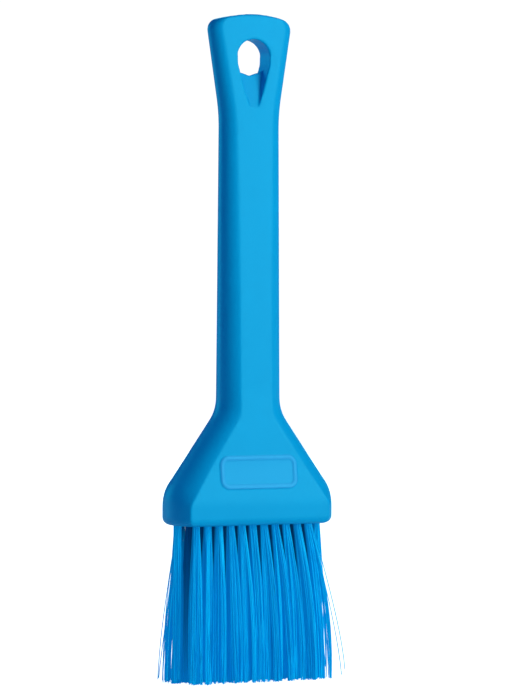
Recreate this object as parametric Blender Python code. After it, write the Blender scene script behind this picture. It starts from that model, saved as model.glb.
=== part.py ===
"""Hygiene pastry brush: one moulded handle and block, its filament tufts and their staple anchors.

The brush stands upright on its bristle tips with its front face towards -Y. Metres, +Z up,
origin at the middle of the bristle tips.
"""

import math

import bmesh
import bpy
from mathutils import Matrix, Vector

# Whole brush
LENGTH = 0.205
BLOCK_BOTTOM = 0.0485
GAP = 0.0003  # left between pieces that touch on the real brush

# Front outline of the handle, bottom to top: half width, height, radius of the bend there
BLOCK_HALF_WIDTH = 0.0272
SHAFT_HALF_WIDTH = 0.0101
HEAD_HALF_WIDTH = 0.0141
FRONT_OUTLINE = [
    (BLOCK_HALF_WIDTH, BLOCK_BOTTOM, 0.0),
    (BLOCK_HALF_WIDTH, 0.0589, 0.009),
    (SHAFT_HALF_WIDTH, 0.0835, 0.012),
    (0.0097, 0.1745, 0.060),
    (HEAD_HALF_WIDTH, 0.2026, 0.0034),
    (0.0098, 0.2038, 0.0),
]
HEAD_CROWN = 0.0012  # rise of the head's top edge between its corners
CROWN_START = 0.168

# Outline of the flat front and back faces, which meet the rounded sides at an edge
FACE_OUTLINE = [
    (0.0233, BLOCK_BOTTOM, 0.0),
    (0.0233, 0.0552, 0.004),
    (0.00525, 0.0818, 0.004),
    (0.0045, LENGTH, 0.0),
]
FULLEST_SIDE = 0.97  # a side's bulge is at most this share of the half depth, so nearly half round

# Side outline of the handle, bottom to top: half depth, height, radius of the bend there
BLOCK_HALF_DEPTH = 0.0100
SIDE_OUTLINE = [
    (BLOCK_HALF_DEPTH, BLOCK_BOTTOM, 0.0),
    (BLOCK_HALF_DEPTH, 0.0560, 0.020),
    (0.0081, 0.0665, 0.040),
    (0.0066, 0.0890, 0.100),
    (0.00355, LENGTH, 0.0),
]

BOTTOM_FILLET_WIDTH = 0.0022
BOTTOM_FILLET_DEPTH = 0.0015
TOP_FILLET = 0.0009
SIDE_STEPS = 4
FACE_STEPS = 4
BEND_STEPS = 4

# Hanging hole: a round-topped hole whose sides run together below it, with a ramp on each face
HOLE_HALF_WIDTH = 0.0054
HOLE_CENTRE = 0.1918
HOLE_SHOULDER = 0.1900
TAIL_HALF_WIDTH = 0.0016
TAIL_END = 0.1762
RIDGE_HEIGHT = 0.1878  # where the two ramps meet, halfway through the head
RIDGE_OVERLAP = 0.0004
NOTCH_BOTTOM = 0.1862
NOTCH_HALF_WIDTH = 0.0044
NOTCH_RISE = 0.0016
HOLE_STEPS = 7

# Tufts in three rows along X, which are staggered
TUFT_PITCH = 0.00375
FRONT_ROOTS = [TUFT_PITCH * (i - 5) for i in range(11)]
BACK_ROOTS = [TUFT_PITCH * (i - 5.5) for i in range(12)]
MIDDLE_PITCH = 0.0039
MIDDLE_ROOTS = [MIDDLE_PITCH * (i - 6) for i in range(13)]
LEFT_OUT = [f"middle_{i:02d}" for i in range(4, 11)]  # hidden behind the other rows
ROW_OFFSET = 0.0037
MIDDLE_TIP_HALF_DEPTH = 0.0019
TIP_HALF_WIDTH = 0.0257
TIP_HALF_DEPTH = 0.0080
FRONT_TIPS_LEFT = -0.0224  # the front row lies a little to the right, and shows a dark gap at its left end
ROWS = [  # name, X of the roots, Y of the roots, left end of the row's tips, its tips from Y to Y
    ("front", FRONT_ROOTS, -ROW_OFFSET, FRONT_TIPS_LEFT, -TIP_HALF_DEPTH, -MIDDLE_TIP_HALF_DEPTH - GAP),
    ("middle", MIDDLE_ROOTS, 0.0, -TIP_HALF_WIDTH, -MIDDLE_TIP_HALF_DEPTH, MIDDLE_TIP_HALF_DEPTH),
    ("back", BACK_ROOTS, ROW_OFFSET, -TIP_HALF_WIDTH, MIDDLE_TIP_HALF_DEPTH + GAP, TIP_HALF_DEPTH),
]
TUFT_HOLE_RADIUS = 0.0013
TUFT_HOLE_DEPTH = 0.0090
TUFT_RADIUS = TUFT_HOLE_RADIUS - GAP
TUFT_SIDES = 12
TUFT_SPREAD = [  # height as a share of the free length, share of the spread from root to tip
    (0.94, 0.18),
    (0.80, 0.45),
    (0.50, 0.74),
    (0.0, 1.0),
]

# Staple anchors, set diagonally across their holes
ANCHOR_LENGTH = 0.0030
ANCHOR_THICKNESS = 0.00035
ANCHOR_HEIGHT = 0.0016
ANCHOR_ANGLE = math.radians(45)
FOLD_THICKNESS = 0.0008  # of the filaments that pass over the anchor


def clear_scene():
    for item in list(bpy.data.objects):
        bpy.data.objects.remove(item)


def material(name, colour, roughness, metallic=0.0):
    made = bpy.data.materials.new(name)
    made.use_nodes = True
    shader = made.node_tree.nodes["Principled BSDF"]
    shader.inputs["Base Color"].default_value = (*colour, 1.0)
    shader.inputs["Roughness"].default_value = roughness
    shader.inputs["Metallic"].default_value = metallic
    return made


def add_object(name, mesh_builder, surface=None):
    """A new object whose mesh is mesh_builder's, with its faces turned outwards."""
    mesh = bpy.data.meshes.new(name)
    bmesh.ops.recalc_face_normals(mesh_builder, faces=mesh_builder.faces)
    mesh_builder.to_mesh(mesh)
    mesh_builder.free()
    if surface:
        mesh.materials.append(surface)
    made = bpy.data.objects.new(name, mesh)
    bpy.context.scene.collection.objects.link(made)
    return made


def shade_smooth(item, angle=35):
    item.data.shade_smooth()
    item.data.set_sharp_from_angle(angle=math.radians(angle))


def loft(rings):
    """A closed body through rings with the same number of points, capped at both ends."""
    builder = bmesh.new()
    loops = [[builder.verts.new(point) for point in ring] for ring in rings]
    for lower, upper in zip(loops, loops[1:]):
        for i in range(len(lower)):
            j = (i + 1) % len(lower)
            builder.faces.new((lower[i], lower[j], upper[j], upper[i]))
    builder.faces.new(reversed(loops[0]))
    builder.faces.new(loops[-1])
    return builder


def bent_line(corners, steps=BEND_STEPS):
    """The line through corners (across, height, radius), with each inner corner rounded to its radius."""
    points = [Vector(corners[0][:2])]
    for before, corner, after in zip(corners, corners[1:], corners[2:]):
        here = Vector(corner[:2])
        back = (Vector(before[:2]) - here).normalized()
        ahead = (Vector(after[:2]) - here).normalized()
        half = back.angle(ahead) / 2
        radius = corner[2]
        centre = here + (back + ahead).normalized() * radius / math.sin(half)
        start = here + back * radius / math.tan(half) - centre
        end = here + ahead * radius / math.tan(half) - centre
        sweep = start.angle_signed(end)
        for i in range(steps + 1):
            turned = Matrix.Rotation(-sweep * i / steps, 2) @ start
            points.append(centre + turned)
    points.append(Vector(corners[-1][:2]))
    return points


def read_line(points, height):
    """How far across a line of (across, height) points is at a height."""
    for low, high in zip(points, points[1:]):
        if low.y <= height <= high.y and high.y > low.y:
            share = (height - low.y) / (high.y - low.y)
            return low.x + (high.x - low.x) * share
    return points[0].x if height < points[0].y else points[-1].x


FRONT_LINE = bent_line(FRONT_OUTLINE)
SIDE_LINE = bent_line(SIDE_OUTLINE)
FACE_LINE = bent_line(FACE_OUTLINE)


def rise_of_crown(height):
    share = max(0.0, (height - CROWN_START) / (FRONT_LINE[-1].y - CROWN_START))
    return HEAD_CROWN * share * share


def section(height, width_inset=0.0, depth_inset=0.0):
    """One ring of the handle: flat faces joined by arcs, which arches up the middle near the top."""
    half_width = read_line(FRONT_LINE, height)
    half_depth = read_line(SIDE_LINE, height) - depth_inset
    bulge = min(half_width - read_line(FACE_LINE, height), FULLEST_SIDE * half_depth)
    half_width -= width_inset
    radius = (half_depth**2 + bulge**2) / (2 * bulge)
    sweep = math.asin(half_depth / radius)
    arch = rise_of_crown(height)
    points = []
    for side in (1, -1):
        for i in range(-SIDE_STEPS, SIDE_STEPS + 1):
            angle = sweep * i / SIDE_STEPS
            across = half_width - radius * (1 - math.cos(angle))
            points.append((side * across, side * radius * math.sin(angle)))
        for i in range(1, FACE_STEPS):
            across = (half_width - bulge) * (1 - 2 * i / FACE_STEPS)
            points.append((side * across, side * half_depth))
    return [(x, y, height + arch * (1 - (x / half_width) ** 2)) for x, y in points]


def handle_rings():
    heights = sorted({round(point.y, 6) for point in FRONT_LINE + SIDE_LINE + FACE_LINE})
    start = BLOCK_BOTTOM + BOTTOM_FILLET_WIDTH
    end = FRONT_LINE[-1].y - TOP_FILLET
    heights = [start] + [h for h in heights if start + 0.0006 < h < end - 0.0002]
    spaced = []
    for height in heights:
        if not spaced or height - spaced[-1] > 0.0004:
            spaced.append(height)
    rings = []
    for share in (1.0, 0.6, 0.3):
        angle = share * math.pi / 2
        inset = 1 - math.cos(angle)
        drop = BOTTOM_FILLET_WIDTH * math.sin(angle)
        rings.append(section(start - drop, BOTTOM_FILLET_WIDTH * inset, BOTTOM_FILLET_DEPTH * inset))
    rings += [section(height) for height in spaced]
    for share in (0.0, 0.5, 1.0):
        angle = share * math.pi / 2
        inset = TOP_FILLET * (1 - math.cos(angle))
        rings.append(section(end + TOP_FILLET * math.sin(angle), inset, inset))
    return rings


def hole_outline():
    """Half widths and heights of the hanging hole's outline on the head's faces, bottom to top."""
    outline = bent_line(
        [
            (TAIL_HALF_WIDTH * 0.5, TAIL_END, 0.0),
            (TAIL_HALF_WIDTH, TAIL_END + 0.0006, 0.0004),
            (HOLE_HALF_WIDTH, HOLE_SHOULDER, 0.010),
            (HOLE_HALF_WIDTH, HOLE_CENTRE, 0.0),
        ]
    )
    for i in range(1, HOLE_STEPS):
        angle = i / HOLE_STEPS * math.pi / 2
        outline.append(
            Vector((HOLE_HALF_WIDTH * math.cos(angle), HOLE_CENTRE + HOLE_HALF_WIDTH * math.sin(angle)))
        )
    outline.append(Vector((0.0003, HOLE_CENTRE + HOLE_HALF_WIDTH)))
    return outline


def as_cutter(item):
    item.hide_render = True
    item.display_type = "WIRE"
    return item


def hole_cutter(side):
    """The hanging hole from one face to just past the middle, with the ramp as its floor below."""
    surface_depth = read_line(SIDE_LINE, TAIL_END)
    slope = surface_depth / (RIDGE_HEIGHT - TAIL_END)
    outside = BLOCK_HALF_DEPTH
    outline = hole_outline()
    turn_height = RIDGE_HEIGHT + RIDGE_OVERLAP / slope
    outline.append(Vector((read_line(outline, turn_height), turn_height)))
    outline.sort(key=lambda point: point.y)
    rings = []
    for half, height in outline:
        floor = max(-RIDGE_OVERLAP, slope * (RIDGE_HEIGHT - height))
        corners = [(-half, outside), (half, outside), (half, floor), (-half, floor)]
        rings.append([(x, y * side, height) for x, y in corners])
    return as_cutter(add_object("hole_cutter", loft(rings)))


def notch_cutter():
    """The shallow V across the bottom of the hanging hole, right through the head."""
    outline = [
        (0.0, NOTCH_BOTTOM),
        (NOTCH_HALF_WIDTH, NOTCH_BOTTOM + NOTCH_RISE),
        (NOTCH_HALF_WIDTH, HOLE_CENTRE),
        (-NOTCH_HALF_WIDTH, HOLE_CENTRE),
        (-NOTCH_HALF_WIDTH, NOTCH_BOTTOM + NOTCH_RISE),
    ]
    rings = [[(x, y, z) for x, z in outline] for y in (-BLOCK_HALF_DEPTH, BLOCK_HALF_DEPTH)]
    return as_cutter(add_object("notch_cutter", loft(rings)))


def tuft_places():
    """Name ending, root centre and tip cell (left, right, near, far) of every tuft."""
    places = []
    for row, roots, y, left_end, near, far in ROWS:
        cell = (TIP_HALF_WIDTH - left_end) / len(roots)
        for i, x in enumerate(roots):
            left = left_end + i * cell
            name = f"{row}_{i + 1:02d}"
            if name not in LEFT_OUT:
                places.append((name, x, y, (left, left + cell, near, far)))
    return places


def tuft_hole_outline():
    """A round hole with the two narrow grooves that an anchor is driven along."""
    half_groove = ANCHOR_THICKNESS / 2 + GAP
    reach = ANCHOR_LENGTH / 2 + GAP
    spread = math.asin(half_groove / TUFT_HOLE_RADIUS)
    outline = []
    for side in (0, math.pi):
        turn = Matrix.Rotation(side + ANCHOR_ANGLE, 2)
        outline.append(turn @ Vector((reach, -half_groove)))
        outline.append(turn @ Vector((reach, half_groove)))
        for i in range(6):
            angle = spread + (math.pi - 2 * spread) * i / 5
            outline.append(turn @ (TUFT_HOLE_RADIUS * Vector((math.cos(angle), math.sin(angle)))))
    return outline


def tuft_holes_cutter(places):
    builder = bmesh.new()
    outline = tuft_hole_outline()
    for _, x, y, _ in places:
        loops = []
        for z in (BLOCK_BOTTOM - 0.001, BLOCK_BOTTOM + TUFT_HOLE_DEPTH):
            loops.append([builder.verts.new((x + p.x, y + p.y, z)) for p in outline])
        for i in range(len(outline)):
            j = (i + 1) % len(outline)
            builder.faces.new((loops[0][i], loops[0][j], loops[1][j], loops[1][i]))
        builder.faces.new(reversed(loops[0]))
        builder.faces.new(loops[1])
    return as_cutter(add_object("tuft_holes_cutter", builder))


def cut(item, cutter):
    modifier = item.modifiers.new(cutter.name, "BOOLEAN")
    modifier.operation = "DIFFERENCE"
    modifier.solver = "EXACT"
    modifier.object = cutter


def build_handle(places, surface):
    handle = add_object("handle", loft(handle_rings()), surface)
    shade_smooth(handle)
    for cutter in (hole_cutter(-1), hole_cutter(1), notch_cutter(), tuft_holes_cutter(places)):
        cut(handle, cutter)
    return handle


def tuft_ring(x, y, height, share, cell):
    """A tuft's ring at a height: a circle at its root, its cell's rectangle at its tip."""
    left, right, near, far = cell
    half_width = (right - left) / 2 - GAP / 2
    half_depth = (far - near) / 2
    tip_x = (left + right) / 2
    tip_y = (near + far) / 2
    ring = []
    for i in range(TUFT_SIDES):
        angle = (i + 0.5) / TUFT_SIDES * 2 * math.pi
        across = math.cos(angle)
        deep = math.sin(angle)
        longer = max(abs(across), abs(deep))
        root = Vector((x + TUFT_RADIUS * across, y + TUFT_RADIUS * deep))
        tip = Vector((tip_x + half_width * across / longer, tip_y + half_depth * deep / longer))
        ring.append((*root.lerp(tip, share), height))
    return ring


def anchor_bottom():
    top = BLOCK_BOTTOM + TUFT_HOLE_DEPTH - 2 * GAP - FOLD_THICKNESS
    return top - ANCHOR_HEIGHT


def build_tuft(name, x, y, cell, surface):
    """Filaments folded over their anchor in the hole, and spread to their cell at the tips."""
    rings = [tuft_ring(x, y, BLOCK_BOTTOM * part, share, cell) for part, share in reversed(TUFT_SPREAD)]
    rings.append(tuft_ring(x, y, BLOCK_BOTTOM, 0.0, cell))
    rings.append(tuft_ring(x, y, BLOCK_BOTTOM + TUFT_HOLE_DEPTH - GAP, 0.0, cell))
    tuft = add_object("tuft_" + name, loft(rings), surface)
    shade_smooth(tuft)
    size = (2 * TUFT_HOLE_RADIUS, ANCHOR_THICKNESS + 2 * GAP, ANCHOR_HEIGHT + 2 * GAP)
    window = add_box("window_" + name, size)
    window.location = (x, y, anchor_bottom() + ANCHOR_HEIGHT / 2)
    window.rotation_euler.z = ANCHOR_ANGLE
    cut(tuft, as_cutter(window))
    return tuft


def add_box(name, size, surface=None):
    builder = bmesh.new()
    bmesh.ops.create_cube(builder, size=1.0)
    bmesh.ops.scale(builder, vec=size, verts=builder.verts)
    return add_object(name, builder, surface)


def build_anchor(name, x, y, surface):
    """A short flat piece of wire, on edge across its hole."""
    anchor = add_box("anchor_" + name, (ANCHOR_LENGTH, ANCHOR_THICKNESS, ANCHOR_HEIGHT), surface)
    anchor.location = (x, y, anchor_bottom() + ANCHOR_HEIGHT / 2)
    anchor.rotation_euler.z = ANCHOR_ANGLE
    return anchor


def main():
    clear_scene()
    plastic = material("handle_plastic", (0.004, 0.33, 0.76), 0.35)
    filament = material("filament", (0.004, 0.27, 0.72), 0.3)
    steel = material("anchor_steel", (0.55, 0.55, 0.54), 0.3, 1.0)
    places = tuft_places()
    brush = bpy.data.objects.new("pastry_brush", None)
    bpy.context.scene.collection.objects.link(brush)
    pieces = [build_handle(places, plastic)]
    for name, x, y, cell in places:
        pieces.append(build_tuft(name, x, y, cell, filament))
        pieces.append(build_anchor(name, x, y, steel))
    for piece in pieces:
        piece.parent = brush


main()
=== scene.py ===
"""Looks of the pastry brush: a finely meshed handle, tufts of single filaments, and a white studio."""

import math

import bmesh
import bpy
import numpy as np
from mathutils import Matrix, Vector


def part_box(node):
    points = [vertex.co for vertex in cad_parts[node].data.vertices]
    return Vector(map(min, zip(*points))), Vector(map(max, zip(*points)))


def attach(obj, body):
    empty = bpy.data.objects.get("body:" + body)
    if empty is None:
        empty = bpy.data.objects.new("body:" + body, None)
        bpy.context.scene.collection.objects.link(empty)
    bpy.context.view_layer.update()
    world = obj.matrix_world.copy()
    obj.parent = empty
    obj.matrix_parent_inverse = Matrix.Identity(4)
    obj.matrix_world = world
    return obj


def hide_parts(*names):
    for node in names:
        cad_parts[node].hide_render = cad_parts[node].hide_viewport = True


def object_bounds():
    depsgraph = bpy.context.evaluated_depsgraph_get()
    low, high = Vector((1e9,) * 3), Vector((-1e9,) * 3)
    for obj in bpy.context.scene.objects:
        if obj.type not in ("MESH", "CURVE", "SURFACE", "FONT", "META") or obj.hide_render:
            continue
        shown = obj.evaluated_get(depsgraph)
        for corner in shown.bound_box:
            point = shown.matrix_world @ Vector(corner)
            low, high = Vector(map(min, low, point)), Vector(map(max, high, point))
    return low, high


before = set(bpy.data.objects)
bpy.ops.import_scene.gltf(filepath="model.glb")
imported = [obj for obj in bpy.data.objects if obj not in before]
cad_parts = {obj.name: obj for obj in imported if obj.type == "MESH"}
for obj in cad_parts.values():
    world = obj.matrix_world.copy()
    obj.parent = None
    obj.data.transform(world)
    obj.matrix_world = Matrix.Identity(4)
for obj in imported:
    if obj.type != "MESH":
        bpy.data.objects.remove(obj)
cad_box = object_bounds()
low, high = cad_box

# Sizes of the design, in metres, as the CAD model has them
BLOCK_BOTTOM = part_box("handle")[0].z
LENGTH = high.z
SAME_LEVEL = 0.0001  # points of a CAD solid this close in height are on one ring
BLOCK_HALF_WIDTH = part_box("handle")[1].x
BLOCK_HALF_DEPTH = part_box("handle")[1].y
TIP_HALF_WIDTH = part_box("tuft_front_11")[1].x
FRONT_OUTLINE = [  # half width, height, radius of the bend there
    (BLOCK_HALF_WIDTH, BLOCK_BOTTOM, 0.0),
    (BLOCK_HALF_WIDTH, 0.0589, 0.009),
    (0.0101, 0.0835, 0.012),
    (0.0097, 0.1745, 0.060),
    (0.0141, 0.2026, 0.0034),
    (0.0098, 0.2038, 0.0),
]
HEAD_CROWN = 0.0012  # how much higher the head's top edge is in the middle than at its ends
CROWN_START = 0.168
FACE_OUTLINE = [  # of the flat front and back faces
    (0.0233, BLOCK_BOTTOM, 0.0),
    (0.0233, 0.0552, 0.004),
    (0.00525, 0.0818, 0.004),
    (0.0045, LENGTH, 0.0),
]
FULLEST_SIDE = 0.97  # bulge of a side arc as a share of the half depth, at most
SIDE_OUTLINE = [  # half depth, height, radius of the bend there
    (BLOCK_HALF_DEPTH, BLOCK_BOTTOM, 0.0),
    (BLOCK_HALF_DEPTH, 0.0560, 0.020),
    (0.0081, 0.0665, 0.040),
    (0.0066, 0.0890, 0.100),
    (0.00355, LENGTH, 0.0),
]
BOTTOM_FILLET_WIDTH = 0.0022
BOTTOM_FILLET_DEPTH = 0.0015
TOP_FILLET = 0.0009

# Fineness of the handle's first mesh
BOTTOM_FILLET_STEPS = 8
TOP_FILLET_STEPS = 6
SIDE_STEPS = 16
FACE_STEPS = 24
BEND_STEPS = 16
RING_SPACING = 0.0008
VOXEL = 0.00030
SMOOTHING_ROUNDS = 5
SMOOTHING_FACTOR = 0.5

# Hanging hole: round above its centre, narrowing to a tail below, which is the foot of a ramp
HOLE_HALF_WIDTH = 0.0054
HOLE_CENTRE = 0.1918
HOLE_SHOULDER = 0.1900
SHOULDER_RADIUS = 0.010
HOLE_TOP_HALF_WIDTH = 0.0001
TAIL_HALF_WIDTH = 0.0016
TAIL_END = 0.1762
TAIL_END_HALF_WIDTH = 0.0008
TAIL_RISE = 0.0006  # from the flat end of the tail to its full width
TAIL_RADIUS = 0.0004
RIDGE_HEIGHT = 0.1878
RIDGE_OVERLAP = 0.0004  # of the front and back cutters, past the middle
NOTCH_BOTTOM = 0.1862
NOTCH_HALF_WIDTH = 0.0044
NOTCH_RISE = 0.0016
HOLE_STEPS = 32

# Middle row of tufts, whose inner ones are hidden and left out of the CAD model
MIDDLE_TUFTS = 13
INNER_TUFTS = range(4, 11)

# Tuft holes, each with two grooves that its anchor is driven along
TUFT_HOLE_RADIUS = 0.0013
TUFT_HOLE_DEPTH = 0.0090
TUFT_HOLE_STEPS = 12  # of each half
TUFT_HOLE_START = 0.001  # how far below the block the cutter begins
GROOVE_HALF_WIDTH = 0.000475
GROOVE_REACH = 0.0018
ANCHOR_ANGLE = math.radians(45)

# Plain raised badge on the block's front face: a rounded frame round a lower field
BADGE_CENTRE = 0.0648
BADGE_HALF_WIDTH = 0.0130
BADGE_HALF_HEIGHT = 0.0052
BADGE_CORNER = 0.0030
BADGE_FRAME = 0.0012
BADGE_EDGE = 0.0004
BADGE_RELIEF = 0.00030
BADGE_FIELD = 0.45  # height of the field as a share of the frame's
FACING_FRONT = -0.9  # Y of a normal, below which a point is on the front face

# Filaments
SEED = 21
FILAMENT_RADIUS = 0.00013
FILAMENTS_PER_TUFT = 90
FILAMENT_SIDES = 5
FILAMENT_STEPS = 14
ROOT_SPREAD = 0.00116
SPREAD_POWER = 1.9  # above 1, filaments spread most just below their root
MIDDLE_SPREAD_POWER = 1.5  # of the middle row, which the others hold upright
FILAMENT_START = 0.003  # how far up its hole a filament is made
TIP_RAGGEDNESS = 0.0004
SHORTEST_TIP = 0.003  # above the floor
TIP_REACH = 0.66  # of a tuft's tips from the middle of its cell, as a share of the cell
TIP_SCATTER = 0.00030
BOW = 0.00030
WAVE = 0.00010
WAVE_RATE = 10
CREASE_ANGLE = math.radians(80)

# Clumps that a tuft's tips gather in
CLUMPS_PER_TUFT = 6
CLUMP_REACH = 0.55  # as a share of the cell
CLUMP_SHADES = (0.1, 0.9)
CLUMP_PULL = (0.3, 0.8)
SHADE_SCATTER = 0.2

# Stray filaments at the ends of the rows
STRAYS_PER_END_TUFT = 5
STRAY_SPREAD_POWER = 1.3
STRAY_REACH = (0.0010, 0.0040)
STRAY_DEPTH = 0.0012
STRAY_LIFT = 0.004

# Shade painted into the filaments' colour between the rows, and their painted glow
OPEN_DEPTH = 0.0042  # filaments rooted further out than this from the middle get no painted shade
OPEN_WIDTH = 0.0228
PAINTED_SHADE_SOFTNESS = 0.0012
PAINTED_SHADE_FALLOFF = 4.5
MIDDLE_PAINTED_SHADE_FALLOFF = 0.6  # of the middle row, whose painted shade, for the others' shadow, reaches almost to its tips
MIDDLE_ROW_DEPTH = 0.0015
PAINTED_GLOW = 0.34  # painted glow, for light that comes through the filaments
PAINTED_GLOW_IN_SHADE = 0.07  # the painted glow, where a filament is fully in painted shade

# Studio
SEEN_WHITE = 1.05  # brightness of the floor and the surroundings as the camera sees them
FLOOR_GLOW = 0.05  # of the floor as the brush sees it
FLOOR_SIZE = 40.0
FLOOR_DROP = 0.0001
FILL_COLOUR = (0.02, 0.06, 0.25, 1)
LIGHT_DISTANCE = 1.2
LIGHTS = [  # name, degrees round from the front, degrees up, width, height, power, colour
    ("key", 28, 9, 0.6, 0.9, 11.0, (0.86, 0.94, 0.86)),
    ("high_key", 36, 40, 0.7, 0.5, 3.2, (1.0, 0.94, 0.86)),
    ("left_back", -145, 8, 0.5, 0.9, 4.2, (0.03, 0.85, 1.0)),
    ("right_back", 150, 20, 0.6, 0.9, 4.0, (0.3, 0.93, 1.0)),
]

# Camera
CAMERA_AZIMUTH = math.radians(-24.5)
CAMERA_DISTANCE = 1.15
CAMERA_HEIGHT = 0.134
SENSOR_WIDTH = 36.0
VIEW_HEIGHT = 0.21538  # of what the camera takes in at the brush
AIM = Vector((0.0024, 0.0, 0.1019))
CAMERA_ROLL = 0.0035


# ---------------------------------------------------------------- handle

def bent_line(corners, steps=BEND_STEPS):
    """The line through corners (across, height, radius), with each inner corner rounded to its radius."""
    points = [Vector(corners[0][:2])]
    for before, corner, after in zip(corners, corners[1:], corners[2:]):
        here = Vector(corner[:2])
        back = (Vector(before[:2]) - here).normalized()
        ahead = (Vector(after[:2]) - here).normalized()
        half = back.angle(ahead) / 2
        radius = corner[2]
        centre = here + (back + ahead).normalized() * radius / math.sin(half)
        start = here + back * radius / math.tan(half) - centre
        end = here + ahead * radius / math.tan(half) - centre
        sweep = start.angle_signed(end)
        for i in range(steps + 1):
            turned = Matrix.Rotation(-sweep * i / steps, 2) @ start
            points.append(centre + turned)
    points.append(Vector(corners[-1][:2]))
    return points


def read_line(points, height):
    """How far across a line of (across, height) points is at a height."""
    for lower, upper in zip(points, points[1:]):
        if lower.y <= height <= upper.y and upper.y > lower.y:
            share = (height - lower.y) / (upper.y - lower.y)
            return lower.x + (upper.x - lower.x) * share
    return points[0].x if height < points[0].y else points[-1].x


FRONT_LINE = bent_line(FRONT_OUTLINE)
SIDE_LINE = bent_line(SIDE_OUTLINE)
FACE_LINE = bent_line(FACE_OUTLINE)


def rise_of_crown(height):
    share = max(0.0, (height - CROWN_START) / (FRONT_LINE[-1].y - CROWN_START))
    return HEAD_CROWN * share * share


def section(height, width_inset=0.0, depth_inset=0.0):
    """One ring of the handle: flat faces joined by arcs, which arches up the middle near the top."""
    half_width = read_line(FRONT_LINE, height)
    half_depth = read_line(SIDE_LINE, height) - depth_inset
    bulge = min(half_width - read_line(FACE_LINE, height), FULLEST_SIDE * half_depth)
    half_width -= width_inset
    radius = (half_depth**2 + bulge**2) / (2 * bulge)
    sweep = math.asin(half_depth / radius)
    arch = rise_of_crown(height)
    points = []
    for side in (1, -1):
        for i in range(-SIDE_STEPS, SIDE_STEPS + 1):
            angle = sweep * i / SIDE_STEPS
            across = half_width - radius * (1 - math.cos(angle))
            points.append((side * across, side * radius * math.sin(angle)))
        for i in range(1, FACE_STEPS):
            across = (half_width - bulge) * (1 - 2 * i / FACE_STEPS)
            points.append((side * across, side * half_depth))
    return [(x, y, height + arch * (1 - (x / half_width) ** 2)) for x, y in points]


def handle_rings():
    start = BLOCK_BOTTOM + BOTTOM_FILLET_WIDTH
    end = FRONT_LINE[-1].y - TOP_FILLET
    count = int((end - start) / RING_SPACING)
    rings = []
    for i in range(BOTTOM_FILLET_STEPS, 0, -1):
        angle = i / BOTTOM_FILLET_STEPS * math.pi / 2
        inset = 1 - math.cos(angle)
        drop = BOTTOM_FILLET_WIDTH * math.sin(angle)
        rings.append(section(start - drop, BOTTOM_FILLET_WIDTH * inset, BOTTOM_FILLET_DEPTH * inset))
    rings += [section(start + (end - start) * i / count) for i in range(count)]
    for i in range(TOP_FILLET_STEPS + 1):
        angle = i / TOP_FILLET_STEPS * math.pi / 2
        inset = TOP_FILLET * (1 - math.cos(angle))
        rings.append(section(end + TOP_FILLET * math.sin(angle), inset, inset))
    return rings


def loft(builder, rings):
    loops = [[builder.verts.new(point) for point in ring] for ring in rings]
    for lower, upper in zip(loops, loops[1:]):
        for i in range(len(lower)):
            j = (i + 1) % len(lower)
            builder.faces.new((lower[i], lower[j], upper[j], upper[i]))
    builder.faces.new(reversed(loops[0]))
    builder.faces.new(loops[-1])


def new_object(name, builder):
    mesh = bpy.data.meshes.new(name)
    bmesh.ops.recalc_face_normals(builder, faces=builder.faces)
    builder.to_mesh(mesh)
    builder.free()
    made = bpy.data.objects.new(name, mesh)
    bpy.context.scene.collection.objects.link(made)
    return made


def hole_outline():
    """Half widths and heights of the hanging hole's outline, bottom to top."""
    outline = bent_line(
        [
            (TAIL_END_HALF_WIDTH, TAIL_END, 0.0),
            (TAIL_HALF_WIDTH, TAIL_END + TAIL_RISE, TAIL_RADIUS),
            (HOLE_HALF_WIDTH, HOLE_SHOULDER, SHOULDER_RADIUS),
            (HOLE_HALF_WIDTH, HOLE_CENTRE, 0.0),
        ]
    )
    for i in range(1, HOLE_STEPS):
        angle = i / HOLE_STEPS * math.pi / 2
        across = HOLE_HALF_WIDTH * math.cos(angle)
        outline.append(Vector((across, HOLE_CENTRE + HOLE_HALF_WIDTH * math.sin(angle))))
    outline.append(Vector((HOLE_TOP_HALF_WIDTH, HOLE_CENTRE + HOLE_HALF_WIDTH)))
    return outline


def hole_cutter(side):
    """The hanging hole from one face to just past the middle, with the ramp as its floor below."""
    slope = read_line(SIDE_LINE, TAIL_END) / (RIDGE_HEIGHT - TAIL_END)
    outline = hole_outline()
    turn_height = RIDGE_HEIGHT + RIDGE_OVERLAP / slope
    outline.append(Vector((read_line(outline, turn_height), turn_height)))
    outline.sort(key=lambda point: point.y)
    rings = []
    for half, height in outline:
        floor = max(-RIDGE_OVERLAP, slope * (RIDGE_HEIGHT - height))
        corners = [(-half, BLOCK_HALF_DEPTH), (half, BLOCK_HALF_DEPTH), (half, floor), (-half, floor)]
        rings.append([(x, y * side, height) for x, y in corners])
    builder = bmesh.new()
    loft(builder, rings)
    return new_object("hole_cutter", builder)


def notch_cutter():
    """The shallow V across the bottom of the hanging hole."""
    shoulder = NOTCH_BOTTOM + NOTCH_RISE
    outline = [
        (0.0, NOTCH_BOTTOM),
        (NOTCH_HALF_WIDTH, shoulder),
        (NOTCH_HALF_WIDTH, HOLE_CENTRE),
        (-NOTCH_HALF_WIDTH, HOLE_CENTRE),
        (-NOTCH_HALF_WIDTH, shoulder),
    ]
    builder = bmesh.new()
    loft(builder, [[(x, y, z) for x, z in outline] for y in (-BLOCK_HALF_DEPTH, BLOCK_HALF_DEPTH)])
    return new_object("notch_cutter", builder)


def tuft_root(node):
    """The middle of a tuft's hole, from its CAD solid's top ring."""
    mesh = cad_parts[node].data
    top = max(vertex.co.z for vertex in mesh.vertices)
    ring = [vertex.co for vertex in mesh.vertices if vertex.co.z > top - SAME_LEVEL]
    return sum(ring, Vector()) / len(ring)


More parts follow.
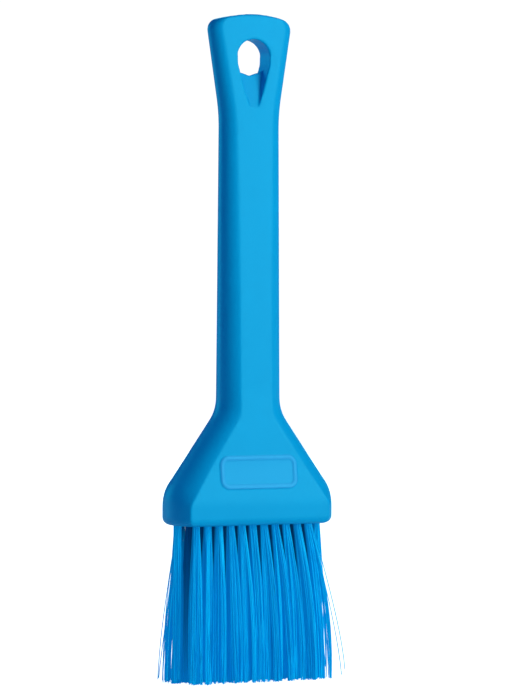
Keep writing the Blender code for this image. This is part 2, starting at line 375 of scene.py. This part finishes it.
def tuft_holes_cutter(roots):
    builder = bmesh.new()
    spread = math.asin(GROOVE_HALF_WIDTH / TUFT_HOLE_RADIUS)
    outline = []
    for side in (0, math.pi):
        turn = Matrix.Rotation(side + ANCHOR_ANGLE, 2)
        outline.append(turn @ Vector((GROOVE_REACH, -GROOVE_HALF_WIDTH)))
        outline.append(turn @ Vector((GROOVE_REACH, GROOVE_HALF_WIDTH)))
        for i in range(TUFT_HOLE_STEPS + 1):
            angle = spread + (math.pi - 2 * spread) * i / TUFT_HOLE_STEPS
            outline.append(turn @ (TUFT_HOLE_RADIUS * Vector((math.cos(angle), math.sin(angle)))))
    for root in roots:
        rings = []
        for z in (BLOCK_BOTTOM - TUFT_HOLE_START, BLOCK_BOTTOM + TUFT_HOLE_DEPTH):
            rings.append([(root.x + p.x, root.y + p.y, z) for p in outline])
        loft(builder, rings)
    return new_object("tuft_holes_cutter", builder)


def bake(item):
    """Apply the item's modifiers to its mesh."""
    graph = bpy.context.evaluated_depsgraph_get()
    mesh = bpy.data.meshes.new_from_object(item.evaluated_get(graph), depsgraph=graph)
    item.modifiers.clear()
    old = item.data
    item.data = mesh
    bpy.data.meshes.remove(old)


def raise_badge(mesh):
    """Push the badge out of the front face, and keep its relief as an attribute for the material, which
    paints a sheen on the badge with it.
    """
    count = len(mesh.vertices)
    places = np.empty(count * 3, dtype=np.float32)
    normals = np.empty(count * 3, dtype=np.float32)
    mesh.vertices.foreach_get("co", places)
    mesh.vertices.foreach_get("normal", normals)
    places = places.reshape(-1, 3)
    beyond_x = np.maximum(np.abs(places[:, 0]) - BADGE_HALF_WIDTH + BADGE_CORNER, 0)
    beyond_z = np.maximum(np.abs(places[:, 2] - BADGE_CENTRE) - BADGE_HALF_HEIGHT + BADGE_CORNER, 0)
    inside = BADGE_CORNER - np.hypot(beyond_x, beyond_z)
    frame_rise = np.clip(inside / BADGE_EDGE, 0, 1)
    field_fall = np.clip((inside - BADGE_FRAME) / BADGE_EDGE, 0, 1)
    relief = frame_rise - (1 - BADGE_FIELD) * field_fall
    relief[normals.reshape(-1, 3)[:, 1] > FACING_FRONT] = 0
    places[:, 1] -= relief * BADGE_RELIEF
    mesh.vertices.foreach_set("co", places.ravel())
    badge = mesh.attributes.new("badge", "FLOAT", "POINT")
    badge.data.foreach_set("value", relief.astype(np.float32))
    mesh.update()


def build_handle(roots):
    builder = bmesh.new()
    loft(builder, handle_rings())
    handle = new_object("brush_handle", builder)
    cutters = [hole_cutter(-1), hole_cutter(1), notch_cutter(), tuft_holes_cutter(roots)]
    for cutter in cutters:
        modifier = handle.modifiers.new("cut", "BOOLEAN")
        modifier.solver = "EXACT"
        modifier.object = cutter
    remesh = handle.modifiers.new("even_mesh", "REMESH")
    remesh.mode = "VOXEL"
    remesh.voxel_size = VOXEL
    remesh.use_smooth_shade = True
    smooth = handle.modifiers.new("soft_edges", "SMOOTH")
    smooth.factor = SMOOTHING_FACTOR
    smooth.iterations = SMOOTHING_ROUNDS
    bake(handle)
    raise_badge(handle.data)
    for cutter in cutters:
        bpy.data.objects.remove(cutter)
    return handle


# ---------------------------------------------------------------- filaments

def tube_mesh(paths, shades, painted_shade, name):
    """One mesh of closed thin tubes along paths, an array of (tubes, points, 3).

    Each tube has a shade, and each of its points has a painted shade from 0 to 1, for the shadow of the
    tufts round it.
    """
    tubes, steps, _ = paths.shape
    sides = FILAMENT_SIDES
    ahead = np.gradient(paths, axis=1)
    ahead /= np.linalg.norm(ahead, axis=2, keepdims=True)
    across = np.cross(ahead, [0.0, 1.0, 0.0])
    across /= np.linalg.norm(across, axis=2, keepdims=True)
    other = np.cross(ahead, across)
    angles = np.arange(sides) / sides * 2 * math.pi
    ring = across[:, :, None] * np.cos(angles)[:, None] + other[:, :, None] * np.sin(angles)[:, None]
    points = (paths[:, :, None] + FILAMENT_RADIUS * ring).reshape(-1, 3)
    start = np.arange(tubes)[:, None, None] * steps * sides
    row = np.arange(steps - 1)[None, :, None] * sides
    i = np.arange(sides)[None, None, :]
    j = (i + 1) % sides
    lower = start + row
    upper = lower + sides
    quads = np.stack([lower + i, lower + j, upper + j, upper + i], axis=-1).reshape(-1, 4)
    caps = []
    for end, order in ((0, slice(None, None, -1)), (steps - 1, slice(None))):
        caps.append((start[:, :, 0] + end * sides + np.arange(sides)[None, :])[:, order])
    faces = quads.tolist() + caps[0].tolist() + caps[1].tolist()
    mesh = bpy.data.meshes.new(name)
    mesh.from_pydata(points.tolist(), [], faces)
    per_point = {"shade": np.repeat(shades, steps * sides), "painted_shade": np.repeat(painted_shade, sides)}
    for attribute, values in per_point.items():
        made = mesh.attributes.new(attribute, "FLOAT", "POINT")
        made.data.foreach_set("value", values.astype(np.float32).ravel())
    mesh.shade_smooth()
    mesh.set_sharp_from_angle(angle=CREASE_ANGLE)
    return mesh


def spread_curve(share, power):
    """How far a filament has moved from root to tip place, for its share of the way down."""
    return 1 - (1 - share) ** power


def gathered_tips(rng, offset, centre, size):
    """Where a tuft's tips end, gathered in clumps, and the shade of each filament."""
    count = len(offset)
    ends = centre + offset * size * TIP_REACH
    clumps = centre + rng.uniform(-CLUMP_REACH, CLUMP_REACH, (CLUMPS_PER_TUFT, 2)) * size
    clump_shade = rng.uniform(*CLUMP_SHADES, CLUMPS_PER_TUFT)
    nearest = np.argmin(np.linalg.norm(ends[:, None] - clumps[None], axis=2), axis=1)
    pull = rng.uniform(*CLUMP_PULL, count)[:, None]
    ends = ends + (clumps[nearest] - ends) * pull
    ends += rng.normal(0, TIP_SCATTER, (count, 2))
    return ends, np.clip(clump_shade[nearest] + rng.normal(0, SHADE_SCATTER, count), 0, 1)


def lead_astray(rng, side, ends, bottom, power):
    """Send a few filaments of an end tuft out past its cell, towards side."""
    strays = rng.choice(len(ends), STRAYS_PER_END_TUFT, replace=False)
    ends[strays, 0] += side * rng.uniform(*STRAY_REACH, STRAYS_PER_END_TUFT)
    ends[strays, 1] += rng.normal(0, STRAY_DEPTH, STRAYS_PER_END_TUFT)
    bottom[strays] += rng.uniform(0.0, STRAY_LIFT, STRAYS_PER_END_TUFT)
    power[strays] = STRAY_SPREAD_POWER


def hanging_paths(rng, starts, ends, bottom, power):
    """Filaments from starts to ends, each a little bowed and wavy, and how far out each point is."""
    count = len(starts)
    top = BLOCK_BOTTOM + FILAMENT_START
    z = top + (bottom[:, None] - top) * np.linspace(0, 1, FILAMENT_STEPS)[None]
    out = np.clip((BLOCK_BOTTOM - z) / (BLOCK_BOTTOM - low.z), 0, 1)
    xy = starts[:, None] + (ends - starts)[:, None] * spread_curve(out[:, :, None], power)
    bow = rng.normal(0, BOW, (count, 1, 2)) * np.sin(out * math.pi)[:, :, None]
    phase = rng.uniform(0, 2 * math.pi, (count, 1, 2))
    wave = rng.normal(0, WAVE, (count, 1, 2)) * np.sin(out[:, :, None] * WAVE_RATE + phase)
    xy = xy + bow + wave * out[:, :, None]
    return np.concatenate([xy, z[:, :, None]], axis=2), out


def tuft_filaments(rng, root, cell_low, cell_high):
    """Paths, shades and painted shade of one tuft's filaments, from inside its hole to its cell at the
    tips.
    """
    count = FILAMENTS_PER_TUFT
    turn = rng.uniform(0, 2 * math.pi, count)
    reach = np.sqrt(rng.uniform(0, 1, count))
    offset = np.stack([reach * np.cos(turn), reach * np.sin(turn)], axis=1)
    starts = np.array([root.x, root.y]) + offset * ROOT_SPREAD
    size = np.array([cell_high.x - cell_low.x, cell_high.y - cell_low.y])
    centre = np.array([cell_high.x + cell_low.x, cell_high.y + cell_low.y]) / 2
    ends, shades = gathered_tips(rng, offset, centre, size)
    bottom = low.z + np.minimum(np.abs(rng.normal(0, TIP_RAGGEDNESS, count)), SHORTEST_TIP)
    between_rows = abs(root.y) < MIDDLE_ROW_DEPTH
    power = np.full((count, 1, 1), MIDDLE_SPREAD_POWER if between_rows else SPREAD_POWER)
    if abs(centre[0]) + size[0] / 2 > TIP_HALF_WIDTH - FILAMENT_RADIUS:
        lead_astray(rng, np.sign(root.x), ends, bottom, power)
    paths, out = hanging_paths(rng, starts, ends, bottom, power)
    return paths, shades, painted_shade_amount(starts, out)


def painted_shade_amount(starts, out):
    """How much shade is painted into the filaments' colour for the shadow of the tufts round them: most
    at the root, between the rows.
    """
    deep = np.clip((OPEN_DEPTH - np.abs(starts[:, 1])) / PAINTED_SHADE_SOFTNESS, 0, 1)
    across = np.clip((OPEN_WIDTH - np.abs(starts[:, 0])) / PAINTED_SHADE_SOFTNESS, 0, 1)
    falloff = np.where(np.abs(starts[:, 1]) < MIDDLE_ROW_DEPTH, MIDDLE_PAINTED_SHADE_FALLOFF, PAINTED_SHADE_FALLOFF)
    return (np.minimum(deep, across)[:, None] * (1 - out) ** falloff[:, None]).ravel()


def tip_cell(node):
    """Lowest and highest corner of the tip of a tuft's CAD solid."""
    tips = [vertex.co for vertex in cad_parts[node].data.vertices if vertex.co.z < low.z + SAME_LEVEL]
    return Vector(map(min, zip(*tips))), Vector(map(max, zip(*tips)))


def inner_tufts():
    """Name ending, root and tip cell of each inner tuft, spaced evenly along the middle row."""
    ends = ("tuft_middle_01", f"tuft_middle_{MIDDLE_TUFTS:02d}")
    first_root, last_root = (tuft_root(node) for node in ends)
    first_cell, last_cell = (tip_cell(node) for node in ends)
    tufts = []
    for number in INNER_TUFTS:
        share = (number - 1) / (MIDDLE_TUFTS - 1)
        cell = [near.lerp(far, share) for near, far in zip(first_cell, last_cell)]
        tufts.append((f"middle_{number:02d}", first_root.lerp(last_root, share), cell))
    return tufts


def build_tuft(rng, name, root, cell, material):
    mesh = tube_mesh(*tuft_filaments(rng, root, *cell), "filaments_" + name)
    mesh.materials.append(material)
    piece = bpy.data.objects.new(mesh.name, mesh)
    bpy.context.scene.collection.objects.link(piece)
    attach(piece, "root")
    return piece


def build_tufts(nodes, inner, material):
    rng = np.random.default_rng(SEED)
    for node in nodes:
        name = node.removeprefix("tuft_")
        piece = build_tuft(rng, name, tuft_root(node), tip_cell(node), material)
        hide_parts(node)
    for name, root, cell in inner:
        build_tuft(rng, name, root, cell, material)


# ---------------------------------------------------------------- materials

class Nodes:
    """Short calls for building a material's node tree."""

    def __init__(self, name):
        self.material = bpy.data.materials.new(name)
        self.material.use_nodes = True
        self.tree = self.material.node_tree
        self.shader = self.tree.nodes["Principled BSDF"]

    def add(self, kind, **values):
        node = self.tree.nodes.new("ShaderNode" + kind)
        for key, value in values.items():
            if hasattr(node, key):
                setattr(node, key, value)
            else:
                node.inputs[key].default_value = value
        return node

    def link(self, output, target):
        self.tree.links.new(output, target)

    def noise(self, scale, detail=2.0):
        place = self.add("TexCoord")
        node = self.add("TexNoise", Scale=scale, Detail=detail)
        self.link(place.outputs["Object"], node.inputs["Vector"])
        return node.outputs["Fac"]

    def spread(self, source, low_value, high_value):
        node = self.add("MapRange")
        node.inputs["To Min"].default_value = low_value
        node.inputs["To Max"].default_value = high_value
        self.link(source, node.inputs["Value"])
        return node.outputs["Result"]

    def blend(self, source, first, second):
        ramp = self.add("ValToRGB")
        ramp.color_ramp.elements[0].color = (*first, 1)
        ramp.color_ramp.elements[1].color = (*second, 1)
        self.link(source, ramp.inputs["Fac"])
        return ramp.outputs["Color"]

    def towards(self, factor, source, colour):
        """The source colour, mixed towards another by a factor."""
        node = self.add("Mix", data_type="RGBA")
        factor_input, first, second = (node.inputs[i] for i in (0, 6, 7))  # 6 and 7 take colours
        second.default_value = (*colour, 1)
        self.link(factor, factor_input)
        self.link(source, first)
        return node.outputs[2]


def plastic_material():
    made = Nodes("moulded_blue_plastic")
    cloud = made.noise(60.0, 3.0)
    moulded = made.blend(cloud, (0.0, 0.355, 0.68), (0.0, 0.385, 0.73))
    # painted sheen: the badge is coloured lighter, standing in for the light its surface scatters
    badge = made.add("Attribute", attribute_name="badge")
    colour = made.towards(badge.outputs["Fac"], moulded, (0.035, 0.42, 0.80))
    made.link(colour, made.shader.inputs["Base Color"])
    made.link(made.spread(made.noise(900.0, 3.0), 0.36, 0.46), made.shader.inputs["Roughness"])
    bump = made.add("Bump", Strength=0.12, Distance=0.00004)
    made.link(made.noise(3500.0, 2.0), bump.inputs["Height"])
    made.link(bump.outputs["Normal"], made.shader.inputs["Normal"])
    made.shader.inputs["Specular IOR Level"].default_value = 0.5
    made.shader.inputs["Specular Tint"].default_value = (0.08, 0.8, 1.0, 1)
    return made.material


def filament_material():
    made = Nodes("blue_filament")
    own = made.add("Attribute", attribute_name="shade")
    lit = made.blend(own.outputs["Fac"], (0.0, 0.33, 0.70), (0.0, 0.55, 0.90))
    painted_shade = made.add("Attribute", attribute_name="painted_shade")
    # painted shade: the filament colour darkened towards navy where the tufts round it would shade it
    colour = made.towards(painted_shade.outputs["Fac"], lit, (0.0, 0.045, 0.30))
    made.link(colour, made.shader.inputs["Base Color"])
    # painted glow: blue emission standing in for light that comes through the filaments, weaker in
    # painted shade
    made.shader.inputs["Emission Color"].default_value = (0.0, 0.24, 0.46, 1)
    glow = made.spread(painted_shade.outputs["Fac"], PAINTED_GLOW, PAINTED_GLOW_IN_SHADE)
    made.link(glow, made.shader.inputs["Emission Strength"])
    made.link(made.spread(made.noise(500.0), 0.25, 0.4), made.shader.inputs["Roughness"])
    made.shader.inputs["Specular IOR Level"].default_value = 0.3
    made.shader.inputs["Specular Tint"].default_value = (0.1, 0.8, 1.0, 1)
    return made.material


def steel_material():
    made = Nodes("anchor_wire")
    grain = made.noise(2500.0, 3.0)
    colour = made.blend(grain, (0.50, 0.50, 0.49), (0.64, 0.64, 0.62))
    made.link(colour, made.shader.inputs["Base Color"])
    made.link(made.spread(grain, 0.22, 0.38), made.shader.inputs["Roughness"])
    made.shader.inputs["Metallic"].default_value = 1.0
    return made.material


# ---------------------------------------------------------------- studio

def build_floor():
    builder = bmesh.new()
    bmesh.ops.create_grid(builder, x_segments=1, y_segments=1, size=FLOOR_SIZE)
    floor = new_object("studio_floor", builder)
    floor.location.z = low.z - FLOOR_DROP
    made = Nodes("white_floor")
    path = made.add("LightPath")
    made.shader.inputs["Base Color"].default_value = (0.8, 0.8, 0.8, 1)
    made.shader.inputs["Roughness"].default_value = 0.9
    made.shader.inputs["Specular IOR Level"].default_value = 0.0
    made.shader.inputs["Emission Color"].default_value = (1, 1, 1, 1)
    glow = made.spread(path.outputs["Is Camera Ray"], FLOOR_GLOW, SEEN_WHITE)
    made.link(glow, made.shader.inputs["Emission Strength"])
    floor.data.materials.append(made.material)


def build_world():
    world = bpy.data.worlds.new("white_studio")
    bpy.context.scene.world = world
    world.use_nodes = True
    nodes = world.node_tree.nodes
    links = world.node_tree.links
    background = nodes["Background"]
    path = nodes.new("ShaderNodeLightPath")
    mix = nodes.new("ShaderNodeMix")
    mix.data_type = "RGBA"
    mix.inputs[6].default_value = FILL_COLOUR
    mix.inputs[7].default_value = (SEEN_WHITE, SEEN_WHITE, SEEN_WHITE, 1)
    links.new(path.outputs["Is Camera Ray"], mix.inputs[0])
    links.new(mix.outputs[2], background.inputs["Color"])


def area_light(name, azimuth, elevation, width, height, power, colour):
    """A soft rectangular light at LIGHT_DISTANCE, aimed at the middle of the brush."""
    lamp = bpy.data.lights.new(name, "AREA")
    lamp.shape = "RECTANGLE"
    lamp.size = width
    lamp.size_y = height
    lamp.energy = power
    lamp.color = colour
    item = bpy.data.objects.new(name, lamp)
    bpy.context.scene.collection.objects.link(item)
    around = math.radians(azimuth)
    up = math.radians(elevation)
    way = Vector((math.sin(around) * math.cos(up), -math.cos(around) * math.cos(up), math.sin(up)))
    item.location = Vector((0, 0, LENGTH / 2)) + way * LIGHT_DISTANCE
    item.rotation_mode = "QUATERNION"
    item.rotation_quaternion = way.to_track_quat("Z", "Y")


def build_camera():
    data = bpy.data.cameras.new("camera")
    data.sensor_width = SENSOR_WIDTH
    data.lens = SENSOR_WIDTH * CAMERA_DISTANCE / VIEW_HEIGHT
    camera = bpy.data.objects.new("camera", data)
    bpy.context.scene.collection.objects.link(camera)
    camera.location = (
        math.sin(CAMERA_AZIMUTH) * CAMERA_DISTANCE,
        -math.cos(CAMERA_AZIMUTH) * CAMERA_DISTANCE,
        CAMERA_HEIGHT,
    )
    camera.rotation_mode = "QUATERNION"
    look = (AIM - camera.location).to_track_quat("-Z", "Y")
    camera.rotation_quaternion = look @ Matrix.Rotation(CAMERA_ROLL, 4, "Z").to_quaternion()
    bpy.context.scene.camera = camera


def main():
    build_camera()
    tuft_nodes = sorted(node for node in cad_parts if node.startswith("tuft_"))
    inner = inner_tufts()
    roots = [tuft_root(node) for node in tuft_nodes] + [root for _, root, _ in inner]
    handle = build_handle(roots)
    handle.data.materials.clear()
    handle.data.materials.append(plastic_material())
    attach(handle, "root")
    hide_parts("handle")
    build_tufts(tuft_nodes, inner, filament_material())
    steel = steel_material()
    for node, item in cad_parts.items():
        if node.startswith("anchor_"):
            item.data.materials.clear()
            item.data.materials.append(steel)
    build_floor()
    build_world()
    for light in LIGHTS:
        area_light(*light)
    bpy.context.scene.view_settings.view_transform = "Standard"


main()
